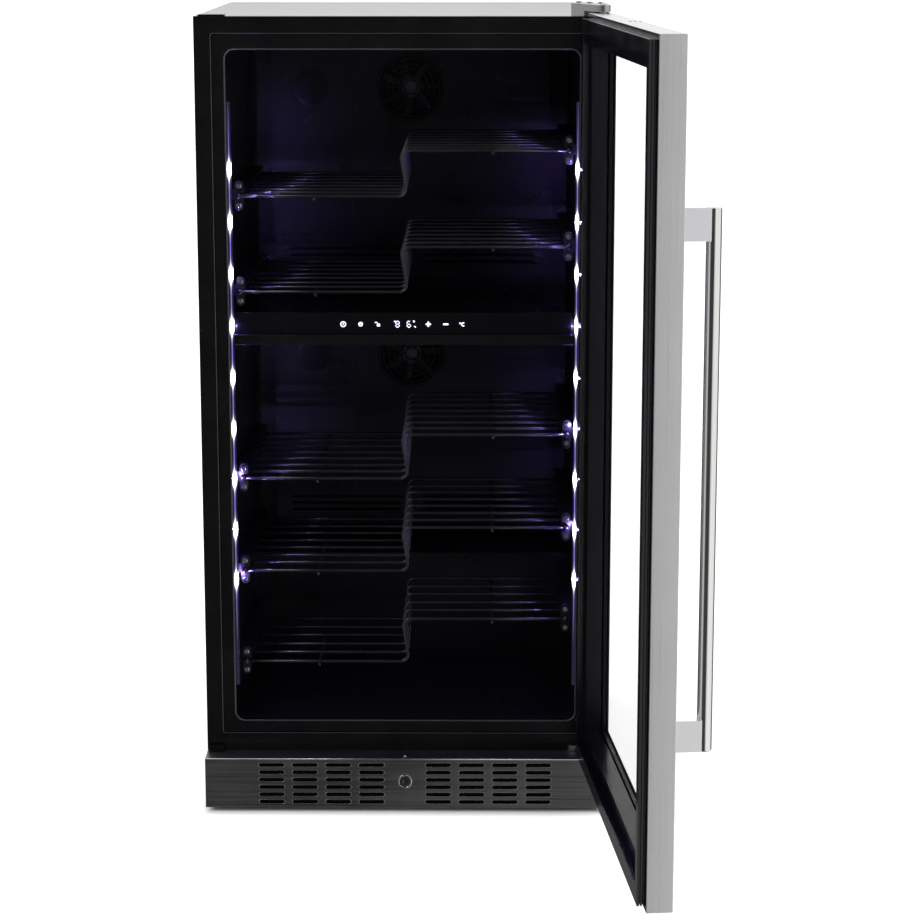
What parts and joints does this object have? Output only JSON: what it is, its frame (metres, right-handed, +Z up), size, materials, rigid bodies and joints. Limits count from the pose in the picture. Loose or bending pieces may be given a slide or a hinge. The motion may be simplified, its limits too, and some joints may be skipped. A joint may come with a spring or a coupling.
{
  "type": "wine cooler",
  "caption": "Tall two-zone wine cooler with an open framed glass door, bar handle, stepped wire racks, side light strips and a vented kick plate.",
  "frame": {"origin": "on the floor plane under the middle of the cabinet's front frame face, 5.4 mm below the raised middle of the base pan's underside", "axes": "+X to the right as seen by the user, +Y into the cabinet's depth, +Z up; the front faces -Y and the door is modelled open on its right-hand hinges"},
  "size_m": [0.6971, 1.1605, 1.1946],
  "materials": {
    "black_paint": "satin black powder coat",
    "zinc_sheet": "bare zinc-coated sheet",
    "foam": "rigid polyurethane foam",
    "liner_plastic": "black moulded liner plastic",
    "frame_plastic": "black moulded plastic, fine grain",
    "zinc_steel": "zinc-plated steel",
    "dark_brushed_steel": "dark stainless steel, horizontal brush",
    "chrome": "polished plating",
    "lock_metal": "dark plated lock plug",
    "black_rubber": "black rubber",
    "black_enamel": "black enamel",
    "fan_plastic": "dark moulded fan plastic",
    "grey_plastic": "light grey moulded plastic",
    "aluminium_fin": "bare fin stock",
    "led_diffuser": "milky light strip",
    "led_light": "lit light-emitting diode",
    "smoked_glass": "smoked touch glass",
    "display_light": "dark board with lit symbols",
    "guide_plastic": "black glossy guide plastic",
    "rack_wire": "black coated wire",
    "hinge_steel": "plain steel plate",
    "foot_plastic": "black plastic foot",
    "door_steel": "stainless steel, vertical brush",
    "door_frame_plastic": "black door frame plastic",
    "clear_glass": "clear pane",
    "spacer_metal": "dark pane spacer",
    "gasket_rubber": "black magnetic seal",
    "handle_steel": "stainless steel, lengthwise brush",
    "bush_plastic": "white acetal bush"
  },
  "bodies": {
    "cabinet": {"side_panel_left": "black_paint", "side_panel_right": "black_paint", "top_panel": "black_paint", "back_panel": "zinc_sheet", "insulation_foam": "foam", "inner_liner": "liner_plastic", "front_frame": "frame_plastic", "machine_room_sheet": "zinc_sheet", "base_pan": "zinc_sheet", "foot_nuts": "zinc_steel", "kick_plate": "dark_brushed_steel", "kick_plate_screws": "zinc_steel", "lock_housing": "zinc_steel", "lock_escutcheon": "chrome", "machine_room_cover": "zinc_sheet", "cord_gland": "black_rubber", "compressor": "black_enamel", "compressor_grommets": "black_rubber", "condenser": "black_enamel", "condenser_fan_shroud": "frame_plastic", "drain_tray": "liner_plastic", "control_box": "grey_plastic", "upper_air_duct": "liner_plastic", "lower_air_duct": "liner_plastic", "fan_grilles": "frame_plastic", "evaporators": "aluminium_fin", "filter_caps": "frame_plastic", "led_strips": "led_diffuser", "led_chips": "led_light", "zone_divider": "frame_plastic", "control_glass": "smoked_glass", "display_board": "display_light", "rack_guides": "guide_plastic", "guide_screws": "chrome", "top_hinge_bracket": "hinge_steel", "bottom_hinge_bracket": "hinge_steel", "hinge_screws": "chrome", "hinge_hole_covers": "frame_plastic"},
    "door": {"door_outer_frame": "door_steel", "door_inner_frame": "door_frame_plastic", "door_panes": "clear_glass", "door_spacer": "spacer_metal", "door_gasket": "gasket_rubber", "handle_bar": "handle_steel", "handle_posts": "handle_steel", "door_bushes": "bush_plastic"},
    "rack_1": {"rack_1": "rack_wire"},
    "rack_2": {"rack_2": "rack_wire"},
    "rack_3": {"rack_3": "rack_wire"},
    "rack_4": {"rack_4": "rack_wire"},
    "rack_5": {"rack_5": "rack_wire"},
    "lock_barrel": {"lock_barrel": "lock_metal"},
    "lock_bolt": {"lock_bolt": "chrome"},
    "condenser_fan": {"condenser_fan_rotor": "fan_plastic"},
    "upper_fan": {"upper_fan_rotor": "fan_plastic"},
    "lower_fan": {"lower_fan_rotor": "fan_plastic"},
    "foot_front_left": {"foot_front_left": "foot_plastic"},
    "foot_front_right": {"foot_front_right": "foot_plastic"},
    "foot_rear_left": {"foot_rear_left": "foot_plastic"},
    "foot_rear_right": {"foot_rear_right": "foot_plastic"}
  },
  "joints": [
    {"name": "door_hinge", "type": "hinge", "parent": "cabinet", "child": "door", "pos_m": [0.284, -0.031, 0.63], "axis": [0, 0, 1], "range_deg": [-95.4, 15]},
    {"name": "rack_1_slide", "type": "slide", "parent": "cabinet", "child": "rack_1", "axis": [0, -1, 0], "range_m": [0, 0.25]},
    {"name": "rack_2_slide", "type": "slide", "parent": "cabinet", "child": "rack_2", "axis": [0, -1, 0], "range_m": [0, 0.25]},
    {"name": "rack_3_slide", "type": "slide", "parent": "cabinet", "child": "rack_3", "axis": [0, -1, 0], "range_m": [0, 0.25]},
    {"name": "rack_4_slide", "type": "slide", "parent": "cabinet", "child": "rack_4", "axis": [0, -1, 0], "range_m": [0, 0.25]},
    {"name": "rack_5_slide", "type": "slide", "parent": "cabinet", "child": "rack_5", "axis": [0, -1, 0], "range_m": [0, 0.18]},
    {"name": "lock_turn", "type": "hinge", "parent": "cabinet", "child": "lock_barrel", "pos_m": [0, -0.03, 0.0476], "axis": [0, -1, 0], "range_deg": [0, 90]},
    {"name": "bolt_slide", "type": "slide", "parent": "cabinet", "child": "lock_bolt", "axis": [0, 0, 1], "range_m": [0, 0.009]},
    {"name": "condenser_fan_spin", "type": "hinge", "parent": "cabinet", "child": "condenser_fan", "pos_m": [-0.07, 0.408, 0.088], "axis": [0, 1, 0], "continuous": true},
    {"name": "upper_fan_spin", "type": "hinge", "parent": "cabinet", "child": "upper_fan", "pos_m": [0, 0.465, 1.042], "axis": [0, 1, 0], "continuous": true},
    {"name": "lower_fan_spin", "type": "hinge", "parent": "cabinet", "child": "lower_fan", "pos_m": [0, 0.465, 0.605], "axis": [0, 1, 0], "continuous": true},
    {"name": "foot_front_left_screw", "type": "slide", "parent": "cabinet", "child": "foot_front_left", "axis": [0, 0, -1], "range_m": [0, 0.012]},
    {"name": "foot_front_right_screw", "type": "slide", "parent": "cabinet", "child": "foot_front_right", "axis": [0, 0, -1], "range_m": [0, 0.012]},
    {"name": "foot_rear_left_screw", "type": "slide", "parent": "cabinet", "child": "foot_rear_left", "axis": [0, 0, -1], "range_m": [0, 0.012]},
    {"name": "foot_rear_right_screw", "type": "slide", "parent": "cabinet", "child": "foot_rear_right", "axis": [0, 0, -1], "range_m": [0, 0.012]}
  ],
  "couplings": [
    {"joint": "lock_turn", "follows": "bolt_slide", "rad_per_m": 174.53}
  ]
}
